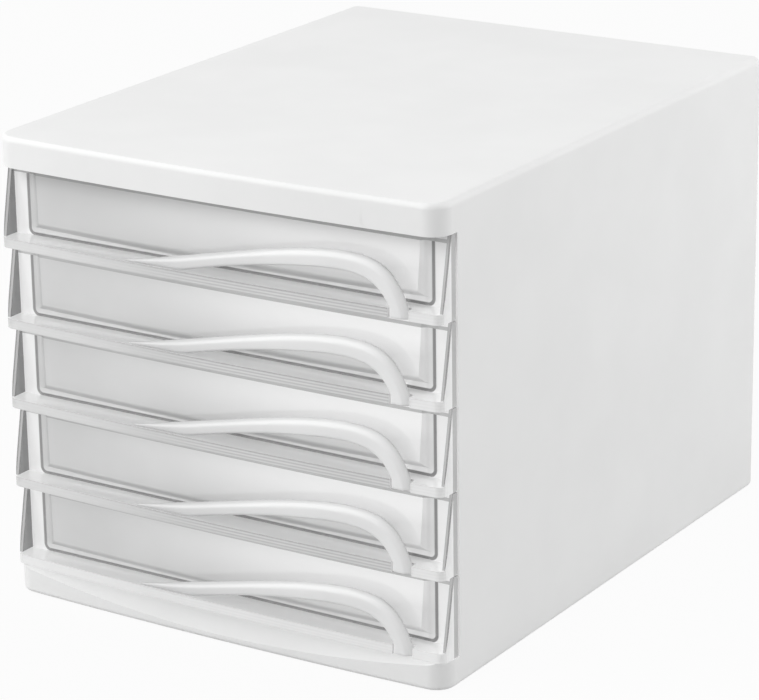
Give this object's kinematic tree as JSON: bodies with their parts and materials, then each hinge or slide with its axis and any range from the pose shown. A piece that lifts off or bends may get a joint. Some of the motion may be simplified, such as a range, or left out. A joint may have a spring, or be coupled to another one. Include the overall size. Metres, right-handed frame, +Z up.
{
  "type": "plastic drawer tower",
  "caption": "Desktop tower of shallow pull-out drawers: white casing with a bowed front band, clear trays for A4 papers with wave-shaped handles.",
  "frame": {"origin": "on the table under the middle of the object's bounding box", "axes": "+X to the right as seen from the front, +Y from the drawer fronts to the back wall, +Z up"},
  "size_m": [0.265, 0.34, 0.25],
  "materials": {
    "casing_plastic": "white moulded plastic, satin, faintly textured",
    "clear_plastic": "clear colourless moulded plastic, smooth and glossy",
    "frosted_plastic": "translucent whitish plastic, softly frosted",
    "foot_rubber": "dark soft rubber"
  },
  "bodies": {
    "casing": {"top_cover": "casing_plastic", "left_wall": "casing_plastic", "right_wall": "casing_plastic", "back_wall": "casing_plastic", "base": "casing_plastic", "left_runners": "casing_plastic", "right_runners": "casing_plastic", "rubber_feet": "foot_rubber"},
    "drawer_1": {"tray_1": "clear_plastic", "front_1": "clear_plastic", "handle_1": "frosted_plastic"},
    "drawer_2": {"tray_2": "clear_plastic", "front_2": "clear_plastic", "handle_2": "frosted_plastic"},
    "drawer_3": {"tray_3": "clear_plastic", "front_3": "clear_plastic", "handle_3": "frosted_plastic"},
    "drawer_4": {"tray_4": "clear_plastic", "front_4": "clear_plastic", "handle_4": "frosted_plastic"},
    "drawer_5": {"tray_5": "clear_plastic", "front_5": "clear_plastic", "handle_5": "frosted_plastic"}
  },
  "joints": [
    {"name": "drawer_1_slide", "type": "slide", "parent": "casing", "child": "drawer_1", "axis": [0, -1, 0], "range_m": [0, 0.25]},
    {"name": "drawer_2_slide", "type": "slide", "parent": "casing", "child": "drawer_2", "axis": [0, -1, 0], "range_m": [0, 0.25]},
    {"name": "drawer_3_slide", "type": "slide", "parent": "casing", "child": "drawer_3", "axis": [0, -1, 0], "range_m": [0, 0.25]},
    {"name": "drawer_4_slide", "type": "slide", "parent": "casing", "child": "drawer_4", "axis": [0, -1, 0], "range_m": [0, 0.25]},
    {"name": "drawer_5_slide", "type": "slide", "parent": "casing", "child": "drawer_5", "axis": [0, -1, 0], "range_m": [0, 0.25]}
  ]
}
